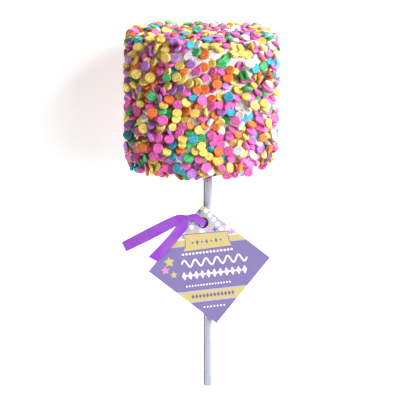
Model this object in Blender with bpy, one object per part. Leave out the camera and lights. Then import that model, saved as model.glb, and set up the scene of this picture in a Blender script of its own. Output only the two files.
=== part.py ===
"""A dipped marshmallow on a paper stick, rolled in sugar confetti, with a card tag on a ribbon.

The pop lies on its side: its stick runs along Y, its top end faces +Y, and the side that
shows its tag faces up. The origin is the middle of the small flat that the coated
marshmallow rests on. Metres, +Z up.
"""

import math
import random

import bmesh
import bpy
import numpy as np
from mathutils import Matrix, Vector

# The coated marshmallow, under its confetti. Its top end is a little wider than its stick end.
HEAD_LENGTH = 0.0423
TOP_RADIUS = 0.0235
STICK_END_RADIUS = 0.0227
TOP_CORNER = 0.0049
STICK_END_CORNER = 0.0078
HEAD_LEAN = 0.0010
FLAT_DEPTH = 0.00047
LUMP_HEIGHT = 0.00028
HEAD_SIDES = 48

# The pressed sugar discs that stand proud of the coating.
CONFETTI_COUNT = 268
CONFETTI_RADIUS = (0.00130, 0.00165)
CONFETTI_THICKNESS = 0.0010
CONFETTI_PROUD = (0.00056, 0.00080)
CONFETTI_TILT = math.radians(46)
CONFETTI_TILT_LIFT = 0.0005
CONFETTI_SCATTER = 0.0009
CONFETTI_SIDES = 8
CONFETTI_SEED = 11
FLOOR_ROOM = 0.0001
FLOOR_LIFT = 0.00045

# The paper stick, sunk into the marshmallow a little to one side of its middle.
STICK_RADIUS = 0.0016
STICK_LENGTH = 0.1016
STICK_SUNK = 0.0264
STICK_ASIDE = 0.0021
STICK_HEIGHT = 0.0236
STICK_SIDES = 24
STICK_EDGE = 0.00015

# The square card tag, hung by one corner.
TAG_SIDE = 0.0285
TAG_THICKNESS = 0.0004
TAG_TURN = math.radians(6.8)
TAG_CENTRE = (0.00252, -0.0543)
HOLE_RADIUS = 0.00183
HOLE_FROM_CORNER = 0.00593
HOLE_ASIDE = -0.00037

# The flat ribbon, tied through the hole and round the stick, its knot beside the tag's edge.
RIBBON_WIDTH = 0.0034
RIBBON_THICKNESS = 0.00025
GATHERED_WIDTH = 0.0018
THREADED_WIDTH = 0.0021
SPREADING_WIDTH = 0.0027
SLANT_CUT_WIDTH = 0.0034
BROAD_WIDTH = 0.00375
KNOT_PLACE = (-0.0042, -0.0385)
KNOT_HALF_SIZE = (0.0011, 0.0010, 0.0006)
THREAD_ASIDE = (0.00040, -0.00045, 0)
WRAP_START = math.radians(84)
WRAP_TURN = math.radians(-216)
WRAP_STATIONS = 9
STRAP_STEPS = 3

GAP = 0.0003
GOLDEN_TURN = math.pi * (3 - math.sqrt(5))

TAG_UNDERSIDE = STICK_HEIGHT + STICK_RADIUS + 2 * GAP + RIBBON_THICKNESS
TAG_TOP = TAG_UNDERSIDE + TAG_THICKNESS
SOCKET_FLOOR = -HEAD_LENGTH / 2 + STICK_SUNK


def clear_scene():
    for thing in list(bpy.data.objects):
        bpy.data.objects.remove(thing, do_unlink=True)


def principled(name, colour, roughness, metallic=0.0):
    """A plain material of one colour, given as linear RGB."""
    material = bpy.data.materials.new(name)
    material.use_nodes = True
    shader = material.node_tree.nodes["Principled BSDF"]
    shader.inputs["Base Color"].default_value = (*colour, 1.0)
    shader.inputs["Roughness"].default_value = roughness
    shader.inputs["Metallic"].default_value = metallic
    material.diffuse_color = (*colour, 1.0)
    return material


def object_from(name, shape, material):
    """An object in the scene made from a bmesh, which is then freed."""
    mesh = bpy.data.meshes.new(name)
    shape.to_mesh(mesh)
    shape.free()
    mesh.materials.append(material)
    made = bpy.data.objects.new(name, mesh)
    bpy.context.scene.collection.objects.link(made)
    return made


def shade_round(thing, sharp_degrees):
    thing.data.shade_smooth()
    thing.data.set_sharp_from_angle(angle=math.radians(sharp_degrees))


def make_guide(thing):
    """Keeps a cutter or a joined piece out of the render."""
    thing.hide_render = True
    thing.display_type = "WIRE"


def add_boolean(thing, other, operation):
    modifier = thing.modifiers.new(operation.title(), "BOOLEAN")
    modifier.operation = operation
    modifier.object = other
    modifier.solver = "EXACT"


def apply_modifiers(thing):
    """Replaces the object's mesh with what its modifiers make of it."""
    graph = bpy.context.evaluated_depsgraph_get()
    finished = bpy.data.meshes.new_from_object(thing.evaluated_get(graph), depsgraph=graph)
    thing.modifiers.clear()
    thing.data = finished


def side_radius(y):
    """The radius of the straight wall at y, from the wide top end to the stick end."""
    share = 0.5 + y / HEAD_LENGTH
    return STICK_END_RADIUS + share * (TOP_RADIUS - STICK_END_RADIUS)


def head_profile():
    """Points (y, radius, outward y, outward radius) down the wall, from the top's middle."""
    half = HEAD_LENGTH / 2
    points = []
    for radius in np.linspace(0, TOP_RADIUS - TOP_CORNER, 4)[:-1]:
        points.append((half, radius, 1.0, 0.0))
    for angle in np.radians(np.linspace(0, 90, 4)):
        inset = TOP_CORNER * (1 - math.cos(angle))
        reach = TOP_CORNER * (1 - math.sin(angle))
        points.append((half - inset, side_radius(half - inset) - reach, math.cos(angle), math.sin(angle)))
    for y in np.linspace(half - TOP_CORNER, -half + STICK_END_CORNER, 4)[1:-1]:
        points.append((y, side_radius(y), 0.0, 1.0))
    for angle in np.radians(np.linspace(90, 0, 5)):
        inset = STICK_END_CORNER * (1 - math.cos(angle))
        reach = STICK_END_CORNER * (1 - math.sin(angle))
        points.append((inset - half, side_radius(inset - half) - reach, -math.cos(angle), math.sin(angle)))
    for radius in np.linspace(STICK_END_RADIUS - STICK_END_CORNER, 0, 3)[1:]:
        points.append((-half, radius, -1.0, 0.0))
    return np.array(points)


def lump(y, radius, turn):
    """How far the hand-dipped coating stands off its even form. It is none at the underside."""
    outward = radius / TOP_RADIUS
    wave = math.sin(3 * turn + 1.1 + 90 * y) + 0.7 * math.sin(2 * turn - 0.6 - 140 * y)
    dome = 0.8 * math.cos(math.pi * outward / 2)
    fade = min(1.0, (1 - outward * math.cos(turn)) / 0.6)
    return LUMP_HEIGHT * fade * (outward * wave + dome)


def head_point(station, turn):
    """The coating's surface at a profile station and a turn round the head, 0 at the underside."""
    y, radius, out_y, out_radius = station
    middle_x = HEAD_LEAN * y / HEAD_LENGTH
    middle_z = side_radius(y) - FLAT_DEPTH
    height = lump(y, radius, turn)
    radius = radius + out_radius * height
    x = middle_x + radius * math.sin(turn)
    z = middle_z - radius * math.cos(turn)
    return Vector((x, y + out_y * height, max(z, 0.0)))


def head_body(material):
    """The coated marshmallow as rings of points joined from end to end."""
    shape = bmesh.new()
    profile = head_profile()
    turns = [2 * math.pi * (k + 0.5) / HEAD_SIDES for k in range(HEAD_SIDES)]
    rings = []
    for station in profile[1:-1]:
        rings.append([shape.verts.new(head_point(station, turn)) for turn in turns])
    for ring, following in zip(rings, rings[1:]):
        for k in range(HEAD_SIDES):
            after = (k + 1) % HEAD_SIDES
            shape.faces.new((ring[k], following[k], following[after], ring[after]))
    for ring, station in ((rings[0], profile[0]), (rings[-1], profile[-1])):
        tip = shape.verts.new(head_point(station, 0.0))
        for k in range(HEAD_SIDES):
            shape.faces.new((ring[k], ring[(k + 1) % HEAD_SIDES], tip))
    bmesh.ops.recalc_face_normals(shape, faces=shape.faces)
    return object_from("head", shape, material)


def confetti_places():
    """Spots spread evenly over the head, each with its outward direction, by a golden spiral."""
    draw = random.Random(CONFETTI_SEED)
    coarse = head_profile()
    length = np.concatenate([[0], np.cumsum(np.hypot(*np.diff(coarse[:, :2], axis=0).T))])
    fine_length = np.linspace(0, length[-1], 600)
    fine = np.stack([np.interp(fine_length, length, coarse[:, k]) for k in range(4)], axis=1)
    area = np.concatenate([[0], np.cumsum(fine[:-1, 1] + fine[1:, 1])])
    places = []
    for number in range(CONFETTI_COUNT):
        share = (number + 0.5) / CONFETTI_COUNT
        along = float(np.interp(share * area[-1], area, fine_length))
        along = along + draw.uniform(-1, 1) * CONFETTI_SCATTER
        along = min(max(along, CONFETTI_SCATTER), float(length[-1]) - CONFETTI_SCATTER)
        station = [float(np.interp(along, length, coarse[:, k])) for k in range(4)]
        turn = number * GOLDEN_TURN + draw.uniform(-1, 1) * CONFETTI_SCATTER / max(station[1], 0.001)
        spot = head_point(station, turn)
        outward = Vector((station[3] * math.sin(turn), station[2], -station[3] * math.cos(turn)))
        places.append((spot, outward.normalized()))
    return places


def confetti_matrix(spot, outward, draw):
    """Where a disc lies: flat, or on a slant and prouder, and sunk a little into the coating."""
    proud = draw.uniform(*CONFETTI_PROUD)
    tilt = CONFETTI_TILT * draw.random()
    lean = Vector((draw.uniform(-1, 1), draw.uniform(-1, 1), draw.uniform(-1, 1)))
    lean = (lean - lean.dot(outward) * outward).normalized()
    facing = (outward * math.cos(tilt) + lean * math.sin(tilt)).normalized()
    proud = proud + CONFETTI_TILT_LIFT * math.sin(tilt)
    middle = spot + outward * (proud - CONFETTI_THICKNESS / 2)
    return Matrix.Translation(middle) @ facing.to_track_quat("Z", "Y").to_matrix().to_4x4()


def add_confetti(head, material):
    """Fuses the discs to the coating, without those that the floor or the stick leaves no room for."""
    draw = random.Random(CONFETTI_SEED + 1)
    radii = sorted((draw.uniform(*CONFETTI_RADIUS) for _ in range(CONFETTI_COUNT)), reverse=True)
    group = bpy.data.collections.new("confetti")
    bpy.context.scene.collection.children.link(group)
    for (spot, outward), radius in zip(confetti_places(), radii):
        placed = confetti_matrix(spot, outward, draw)
        shape = bmesh.new()
        bmesh.ops.create_cone(
            shape,
            cap_ends=True,
            segments=CONFETTI_SIDES,
            radius1=radius,
            radius2=radius,
            depth=CONFETTI_THICKNESS,
            matrix=placed,
        )
        lift = FLOOR_ROOM - min(corner.co.z for corner in shape.verts)
        from_stick = math.hypot(spot.x - STICK_ASIDE, spot.z - STICK_HEIGHT)
        at_stick = spot.y < 0 and from_stick < STICK_RADIUS + 3 * GAP + radius
        if lift > FLOOR_LIFT or at_stick:
            shape.free()
            continue
        bmesh.ops.translate(shape, verts=shape.verts, vec=(0, 0, max(lift, 0)))
        disc = object_from("confetti_disc", shape, material)
        bpy.context.scene.collection.objects.unlink(disc)
        group.objects.link(disc)
    modifier = head.modifiers.new("Confetti", "BOOLEAN")
    modifier.operation = "UNION"
    modifier.operand_type = "COLLECTION"
    modifier.collection = group
    modifier.solver = "MANIFOLD"
    bpy.context.view_layer.update()
    apply_modifiers(head)
    for disc in list(group.objects):
        bpy.data.objects.remove(disc, do_unlink=True)
    bpy.data.collections.remove(group)


def rod(name, radius, length, sides, material):
    """A round bar along Y, its middle at the object's origin."""
    shape = bmesh.new()
    bmesh.ops.create_cone(
        shape,
        cap_ends=True,
        segments=sides,
        radius1=radius,
        radius2=radius,
        depth=length,
        matrix=Matrix.Rotation(math.radians(90), 4, "X"),
    )
    return object_from(name, shape, material)


def head(coating, sugar):
    made = head_body(coating)
    add_confetti(made, sugar)
    depth = STICK_SUNK + GAP + STICK_END_CORNER
    socket = rod("stick_socket", STICK_RADIUS + GAP, depth, STICK_SIDES, coating)
    socket.location = (STICK_ASIDE, SOCKET_FLOOR + GAP - depth / 2, STICK_HEIGHT)
    make_guide(socket)
    add_boolean(made, socket, "DIFFERENCE")
    shade_round(made, 35)
    return made


def stick(paper):
    made = rod("stick", STICK_RADIUS, STICK_LENGTH, STICK_SIDES, paper)
    made.location = (STICK_ASIDE, SOCKET_FLOOR - STICK_LENGTH / 2, STICK_HEIGHT)
    bevel = made.modifiers.new("Cut ends", "BEVEL")
    bevel.width = STICK_EDGE
    bevel.segments = 1
    bevel.limit_method = "ANGLE"
    bevel.angle_limit = math.radians(60)
    shade_round(made, 30)
    return made


def tag_place():
    """The tag's own frame: X across it, -Y from its hung corner to its far corner."""
    middle = (TAG_CENTRE[0], TAG_CENTRE[1], TAG_UNDERSIDE + TAG_THICKNESS / 2)
    return Matrix.Translation(middle) @ Matrix.Rotation(TAG_TURN, 4, "Z")


def hole_place():
    corner = TAG_SIDE / math.sqrt(2)
    return tag_place() @ Matrix.Translation((HOLE_ASIDE, corner - HOLE_FROM_CORNER, 0))


def tag(card):
    shape = bmesh.new()
    size = Matrix.Diagonal((TAG_SIDE, TAG_SIDE, TAG_THICKNESS, 1))
    diamond = Matrix.Rotation(math.radians(45), 4, "Z")
    bmesh.ops.create_cube(shape, size=1.0, matrix=diamond @ size)
    made = object_from("tag", shape, card)
    made.matrix_world = tag_place()
    shape = bmesh.new()
    bmesh.ops.create_cone(
        shape,
        cap_ends=True,
        segments=32,
        radius1=HOLE_RADIUS,
        radius2=HOLE_RADIUS,
        depth=4 * TAG_THICKNESS,
    )
    punch = object_from("tag_punch", shape, card)
    punch.matrix_world = hole_place()
    make_guide(punch)
    add_boolean(made, punch, "DIFFERENCE")
    return made


def smooth_run(values, steps):
    """Catmull-Rom points through rows of values, with some steps between each two."""
    values = np.array(values, float)
    padded = np.vstack([2 * values[0] - values[1], values, 2 * values[-1] - values[-2]])
    run = []
    for before, start, end, after in zip(padded, padded[1:], padded[2:], padded[3:]):
        for t in np.arange(steps) / steps:
            bend = (2 * before - 5 * start + 4 * end - after) * t**2
            twist = (3 * start - before - 3 * end + after) * t**3
            run.append(0.5 * (2 * start + (end - before) * t + bend + twist))
    run.append(values[-1])
    return np.array(run)


def strap(name, stations, satin):
    """A flat strip of ribbon. Each station is its middle, the direction across it and its width."""
    rows = [(*middle, *across, width) for middle, across, width in stations]
    shape = bmesh.new()
    rails = []
    for row in smooth_run(rows, STRAP_STEPS):
        middle = Vector(row[0:3])
        across = Vector(row[3:6]).normalized() * (row[6] / 2)
        rails.append([shape.verts.new(middle - across), shape.verts.new(middle + across)])
    for start, end in zip(rails, rails[1:]):
        shape.faces.new((start[0], start[1], end[1], end[0]))
    made = object_from(name, shape, satin)
    solidify = made.modifiers.new("Ribbon thickness", "SOLIDIFY")
    solidify.thickness = RIBBON_THICKNESS
    solidify.offset = 0
    return made


def over_tag_stations(knot, thread):
    """From the knot over a small fold and the tag, and down through its hole, at the thread point."""
    on_card = TAG_TOP + GAP + RIBBON_THICKNESS / 2 - thread.z
    across = Vector((0.6, 0.8, 0))
    return [
        (knot, Vector((0.1, 1, 0)), GATHERED_WIDTH),
        (knot + Vector((0.0008, 0.0001, 0)), Vector((0.15, 1, 0)), GATHERED_WIDTH),
        (thread + Vector((-0.0033, 0.0025, on_card + 0.00015)), Vector((0.42, 0.91, 0)), 0.0024),
        (thread + Vector((-0.0023, 0.0019, on_card + 0.0001)), across, 0.0026),
        (thread + Vector((-0.0010, 0.0008, on_card + 0.00003)), across, 0.0024),
        (thread, across, THREADED_WIDTH),
        (thread + Vector((0.00035, 0, -TAG_THICKNESS / 2 - 0.00018)), across, THREADED_WIDTH),
    ]


def wrap_stations(knot, thread):
    """Over the stick and round it, while the ribbon moves along it from the hole to the knot."""
    radius = STICK_RADIUS + GAP + RIBBON_THICKNESS / 2
    stations = []
    for share in np.linspace(0, 1, WRAP_STATIONS):
        angle = WRAP_START + share * WRAP_TURN
        x = STICK_ASIDE + radius * math.cos(angle)
        y = thread.y + 0.8 * share * (knot.y - thread.y)
        z = STICK_HEIGHT + radius * math.sin(angle)
        width = THREADED_WIDTH + 0.3 * share * (GATHERED_WIDTH - THREADED_WIDTH)
        stations.append((Vector((x, y, z)), Vector((0, 1, 0)), width))
    return stations


def rise_stations(knot):
    """From the stick up beside the tag's edge to the knot."""
    across = Vector((0.5, 0.85, 0))
    return [
        (Vector((knot.x - 0.0004, knot.y, TAG_UNDERSIDE - 0.0006)), across, GATHERED_WIDTH),
        (knot + Vector((-0.0004, 0, -0.0001)), across, GATHERED_WIDTH),
    ]


def long_tail_stations(knot):
    """The longer tail: out from the knot, over a soft fold, then drooping to its cut end."""
    return [
        (knot, Vector((0.1, 1, 0)), GATHERED_WIDTH),
        (knot + Vector((-0.0016, -0.0002, 0.0001)), Vector((0.0, 1, 0.1)), SPREADING_WIDTH),
        (knot + Vector((-0.0034, -0.0005, 0.0001)), Vector((-0.25, 1, 0.1)), RIBBON_WIDTH),
        (knot + Vector((-0.0080, -0.0028, -0.0001)), Vector((-0.5, 1, 0.05)), BROAD_WIDTH),
        (knot + Vector((-0.0143, -0.0063, -0.0010)), Vector((-0.5, 1, 0)), BROAD_WIDTH),
        (knot + Vector((-0.0214, -0.0104, -0.0032)), Vector((-0.48, 1, 0)), RIBBON_WIDTH),
    ]


def short_tail_stations(knot):
    """The shorter tail, over the tag's edge to a slanted cut."""
    return [
        (knot + Vector((0, -0.0001, 0.0002)), Vector((-0.1, 1, 0)), GATHERED_WIDTH),
        (knot + Vector((-0.0011, -0.0013, 0.0003)), Vector((-0.6, 0.8, 0)), SPREADING_WIDTH),
        (knot + Vector((-0.0024, -0.0032, 0.0002)), Vector((-0.78, 0.62, 0)), RIBBON_WIDTH),
        (knot + Vector((-0.0068, -0.0085, 0.0001)), Vector((-0.77, 0.64, 0)), 0.95 * RIBBON_WIDTH),
        (knot + Vector((-0.0118, -0.0139, -0.0001)), Vector((-0.9, 0.45, 0)), SLANT_CUT_WIDTH),
    ]


def ribbon(satin):
    """The loop, the knot and the two tails, joined as one ribbon."""
    knot = Vector((*KNOT_PLACE, TAG_TOP + GAP + 0.75 * KNOT_HALF_SIZE[2]))
    thread = hole_place().translation + Vector(THREAD_ASIDE)
    loop = over_tag_stations(knot, thread) + wrap_stations(knot, thread) + rise_stations(knot)
    made = strap("ribbon", loop, satin)
    shape = bmesh.new()
    size = Matrix.Diagonal((*KNOT_HALF_SIZE, 1))
    bmesh.ops.create_icosphere(
        shape,
        subdivisions=2,
        radius=1.0,
        matrix=Matrix.Translation(knot) @ size,
    )
    pieces = [
        object_from("ribbon_knot", shape, satin),
        strap("ribbon_long_tail", long_tail_stations(knot), satin),
        strap("ribbon_short_tail", short_tail_stations(knot), satin),
    ]
    for piece in pieces:
        make_guide(piece)
        add_boolean(made, piece, "UNION")
    return made


def main():
    clear_scene()
    coating = principled("White confectionery coating", (0.80, 0.77, 0.70), 0.5)
    sugar = principled("Pressed sugar confetti", (0.82, 0.25, 0.50), 0.6)
    paper = principled("Rolled paper", (0.74, 0.74, 0.80), 0.7)
    card = principled("Printed card", (0.33, 0.23, 0.62), 0.45)
    satin = principled("Violet satin ribbon", (0.38, 0.11, 0.70), 0.4)
    head(coating, sugar)
    stick(paper)
    tag(card)
    ribbon(satin)


main()
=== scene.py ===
"""A confetti-coated marshmallow pop with its card tag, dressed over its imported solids.

The pop lies with the side that shows its tag up, and the camera looks down on it. Metres.
"""

import itertools
import math
import random

import bpy
import numpy as np
from mathutils import Matrix, Vector


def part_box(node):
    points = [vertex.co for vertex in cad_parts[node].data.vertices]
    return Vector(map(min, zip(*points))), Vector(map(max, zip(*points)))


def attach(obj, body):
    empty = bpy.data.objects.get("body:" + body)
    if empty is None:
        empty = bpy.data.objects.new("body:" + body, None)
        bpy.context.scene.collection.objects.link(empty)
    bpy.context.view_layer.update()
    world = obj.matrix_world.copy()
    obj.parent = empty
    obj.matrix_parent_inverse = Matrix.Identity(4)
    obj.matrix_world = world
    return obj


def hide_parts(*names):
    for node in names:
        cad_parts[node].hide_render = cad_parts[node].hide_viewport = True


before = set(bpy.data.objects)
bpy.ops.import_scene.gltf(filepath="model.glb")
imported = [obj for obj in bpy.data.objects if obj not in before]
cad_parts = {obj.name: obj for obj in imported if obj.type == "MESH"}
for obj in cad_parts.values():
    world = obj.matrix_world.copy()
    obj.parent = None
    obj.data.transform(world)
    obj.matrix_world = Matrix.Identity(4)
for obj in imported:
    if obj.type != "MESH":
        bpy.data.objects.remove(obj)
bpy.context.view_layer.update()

bl_info = {
    "name": "Marshmallow Pop",
    "version": (1, 0, 0),
    "blender": (4, 5, 0),
    "location": "View3D > Sidebar > Marshmallow Pop",
    "description": "Builds a confetti-coated marshmallow pop, its tag and its ribbon",
    "category": "Add Mesh",
}

MM = 0.001
HEAD_LOW, HEAD_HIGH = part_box("head")
STICK_LOW, STICK_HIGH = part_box("stick")
TAG_LOW, TAG_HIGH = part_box("tag")

# The marshmallow's form, the same as its solid's.
HEAD_LENGTH = 42.3 * MM
TOP_RADIUS = 23.5 * MM
STICK_END_RADIUS = 22.7 * MM
TOP_CORNER = 4.9 * MM
STICK_END_CORNER = 7.8 * MM
HEAD_LEAN = 1.0 * MM
FLAT_DEPTH = 0.47 * MM
LUMP_HEIGHT = 0.28 * MM

# The confetti that the solid has too: one disc at each of so many places, where it fits over the
# floor with at most a small lift. The rest is laid round it.
SOLID_CONFETTI = 268
SOLID_CONFETTI_RADIUS = (1.30 * MM, 1.65 * MM)
SOLID_CONFETTI_PROUD = (0.56 * MM, 0.80 * MM)
SOLID_CONFETTI_TILT = math.radians(46)
SOLID_CONFETTI_TILT_LIFT = 0.5 * MM
SOLID_CONFETTI_SCATTER = 0.9 * MM
SOLID_CONFETTI_SEED = 11
FLOOR_ROOM = 0.1 * MM
FLOOR_LIFT = 0.45 * MM
GOLDEN_TURN = math.pi * (3 - math.sqrt(5))

# The stick and the tag, from their solids.
STICK_RADIUS = (STICK_HIGH.x - STICK_LOW.x) / 2
STICK_ASIDE = (STICK_HIGH.x + STICK_LOW.x) / 2
STICK_HEIGHT = (STICK_HIGH.z + STICK_LOW.z) / 2
TAG_UNDERSIDE = TAG_LOW.z
TAG_TOP = TAG_HIGH.z
TAG_THICKNESS = TAG_TOP - TAG_UNDERSIDE
TAG_TURN = math.radians(6.8)
TAG_SIDE = (TAG_HIGH.x - TAG_LOW.x) / math.sqrt(2) / math.cos(TAG_TURN)
TAG_MIDDLE = (TAG_LOW + TAG_HIGH) / 2
HOLE_RADIUS = 1.83 * MM
HOLE_FROM_CORNER = 5.93 * MM
HOLE_ASIDE = -0.37 * MM

# The ribbon's route, the same as its solid's.
GAP = 0.3 * MM
RIBBON_WIDTH = 3.4 * MM
RIBBON_THICKNESS = 0.25 * MM
GATHERED_WIDTH = 1.8 * MM
THREADED_WIDTH = 2.1 * MM
SPREADING_WIDTH = 2.7 * MM
SLANT_CUT_WIDTH = 3.4 * MM
BROAD_WIDTH = 3.75 * MM
KNOT_PLACE = (-4.2 * MM, -38.5 * MM)
KNOT_HALF_SIZE = (1.1 * MM, 1.0 * MM, 0.6 * MM)
THREAD_ASIDE = (0.40 * MM, -0.45 * MM, 0)
WRAP_START = math.radians(84)
WRAP_TURN = math.radians(-216)
WRAP_STATIONS = 9

# Sockets of the Mix node, whose names repeat.
MIX_A = 6
MIX_B = 7
MIX_RESULT = 2


def linear(code):
    """A colour's sRGB hex code as linear RGB."""
    values = [int(code[k:k + 2], 16) / 255 for k in (0, 2, 4)]
    return [v / 12.92 if v <= 0.04045 else ((v + 0.055) / 1.055) ** 2.4 for v in values]


def colour_setting(name, code, description):
    return bpy.props.FloatVectorProperty(
        name=name, description=description, default=linear(code), subtype="COLOR", size=3, min=0, max=1
    )


def number_setting(name, value, description, **kind):
    return bpy.props.FloatProperty(name=name, description=description, default=value, **kind)


def length_setting(name, value, description):
    return number_setting(name, value, description, unit="LENGTH")


def count_setting(name, value, description, least=0):
    return bpy.props.IntProperty(name=name, description=description, default=value, min=least)


class CoatingSettings(bpy.types.PropertyGroup):
    colour: colour_setting("Coating", "EAE6E1", "Colour of the white confectionery coating")
    sides: count_setting("Sides", 96, "Faces round the marshmallow", least=24)
    floor_inlay: length_setting(
        "Floor inlay", 0.12 * MM, "How far the confetti at the resting flat stands out of the coating"
    )


class ConfettiSettings(bpy.types.PropertyGroup):
    thickness: length_setting("Thickness", 1.0 * MM, "Thickness of a disc")
    smallest: length_setting("Smallest radius", 1.34 * MM, "Radius of the smallest disc")
    largest: length_setting("Largest radius", 1.74 * MM, "Radius of the largest disc")
    spacing: length_setting("Spacing", 1.62 * MM, "Least distance between two discs' places on the coating")
    thin_spacing: length_setting("Thin spacing", 2.4 * MM, "That distance where the cover is thin")
    in_gaps: count_setting("Discs in gaps", 400, "Discs laid over the widest gaps")
    on_edge: count_setting("Discs on edge", 100, "Stacks of discs that stand on edge")
    seed: count_setting("Seed", 43, "Seed of the discs' places")
    colour_seed: count_setting("Colour seed", 171, "Seed of the discs' colours")
    pink: colour_setting("Pink", "EC76BC", "Colour of the pink discs")
    yellow: colour_setting("Yellow", "F0D678", "Colour of the yellow discs")
    blue: colour_setting("Blue", "4FAECA", "Colour of the turquoise discs")
    green: colour_setting("Green", "5CBE78", "Colour of the green discs")
    purple: colour_setting("Purple", "BA82CC", "Colour of the purple discs")
    orange: colour_setting("Orange", "FA874E", "Colour of the orange discs")
    white: colour_setting("White", "E9E6E2", "Colour of the white discs")


class StickSettings(bpy.types.PropertyGroup):
    colour: colour_setting("Paper", "AFB2BB", "Colour of the rolled paper")
    seam: length_setting("Seam step", 0.06 * MM, "Step where the roll's last lap ends")
    seam_turn: number_setting(
        "Seam turn", math.radians(150), "Where the seam is, from the right over the top", subtype="ANGLE"
    )
    roll_turns: count_setting("Roll turns", 7, "Turns of paper that show at the cut end", least=2)


class TagSettings(bpy.types.PropertyGroup):
    field: colour_setting("Field", "857BAA", "Colour of the tag's main field")
    upper: colour_setting("Upper field", "B6B0CB", "Colour of the tag's patterned upper field")
    band: colour_setting("Bands", "C9BB81", "Colour of the tag's bands and banner")
    accent: colour_setting("Accent", "756AA5", "Colour of the dark motifs and outlines")
    warm: colour_setting("Warm accent", "FF93B4", "Colour of the small pink dots")
    white: colour_setting("White", "FBFAFD", "Colour of the white motifs")
    card: colour_setting("Card", "F4F2F0", "Colour of the card's cut edge and of its back")
    # The hole's dark ring is painted shade, for the shadow seen down the punched hole.
    hole_edge: colour_setting("Hole edge", "1E2A2A", "Colour of the dark edge of the punched hole")
    ink_height: length_setting("Ink height", 0.012 * MM, "How far a printed shape stands proud")


class RibbonSettings(bpy.types.PropertyGroup):
    colour: colour_setting("Satin", "985DBF", "Colour of the satin ribbon")
    # The deep satin is painted shade: a darker copy of the satin that stands for its sheen turning away,
    # laid in soft random patches.
    deep: colour_setting("Deep satin", "934AC3", "Colour of the satin where its gloss turns away")
    pleats: length_setting("Pleat depth", 0.035 * MM, "Depth of the pleats at the knot")


class StageSettings(bpy.types.PropertyGroup):
    aim: bpy.props.FloatVectorProperty(
        name="Aim",
        description="What the camera points at",
        default=(2.1 * MM, -35.7 * MM, 24.5 * MM),
        subtype="TRANSLATION",
    )
    distance: length_setting("Camera distance", 0.833, "From the camera to its aim")
    pitch: number_setting(
        "Camera pitch",
        math.radians(12.2),
        "Turn from straight down, towards the marshmallow's top end",
        subtype="ANGLE",
    )
    lens: number_setting("Lens", 219.4, "Focal length on a 36 mm sensor", unit="CAMERA")
    floor: colour_setting("Floor", "FDFDFD", "Colour of the pale floor")
    floor_glow: number_setting("Floor glow", 0.38, "Light that the pale board lets through from below")
    key_power: number_setting("Key light", 14.8, "Power of the soft light from the right", unit="POWER")
    front_power: number_setting(
        "Front light", 1.3, "Power of the soft light from above the shown side", unit="POWER"
    )
    side_power: number_setting(
        "Side light", 0.12, "Power of the narrow light from the left on the stick", unit="POWER"
    )
    fill: number_setting("Fill light", 0.09, "Strength of the even light all round")


SETTINGS = {
    "pop_coating": CoatingSettings,
    "pop_confetti": ConfettiSettings,
    "pop_stick": StickSettings,
    "pop_tag": TagSettings,
    "pop_ribbon": RibbonSettings,
    "pop_stage": StageSettings,
}


# Materials


def new_material(name, inputs):
    """A material and its shader, with the shader's own sockets set."""
    material = bpy.data.materials.new(name)
    material.use_nodes = True
    shader = material.node_tree.nodes["Principled BSDF"]
    feed(material, shader, inputs)
    return material, shader


def feed(material, node, inputs):
    """Sets a node's sockets to values, or links them to other nodes' outputs."""
    for socket, value in inputs.items():
        if isinstance(value, bpy.types.NodeSocket):
            material.node_tree.links.new(value, node.inputs[socket])
        else:
            node.inputs[socket].default_value = value


def add_node(material, kind, inputs, **settings):
    """A node with its own settings, and with its sockets set or linked."""
    node = material.node_tree.nodes.new("ShaderNode" + kind)
    for name, value in settings.items():
        setattr(node, name, value)
    feed(material, node, inputs)
    return node


def per_mm(size):
    """The texture scale that gives features of a size in millimetres."""
    return 1000 / size


def shaded(colour, factor):
    """A colour made lighter or darker, as an opaque one."""
    return [min(1.0, value * factor) for value in colour] + [1.0]


# Painted shade on the discs' rims: the most that a disc's side and eased edges are mixed towards a dark
# copy of its colour.
RIM_PAINTED_SHADE = 0.3

# How strongly the sugar's grains differ. It shows least in the undyed discs.
SUGAR_CONTRAST = 0.55
UNDYED_CONTRAST = 0.3

# The ribbon's ribs, drawn coarser than woven ones so that they show. A wave texture has 20
# radians to each unit of its scale.
RIB_PITCH = 0.5524 * MM
WAVE_UNIT = 20


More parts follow.
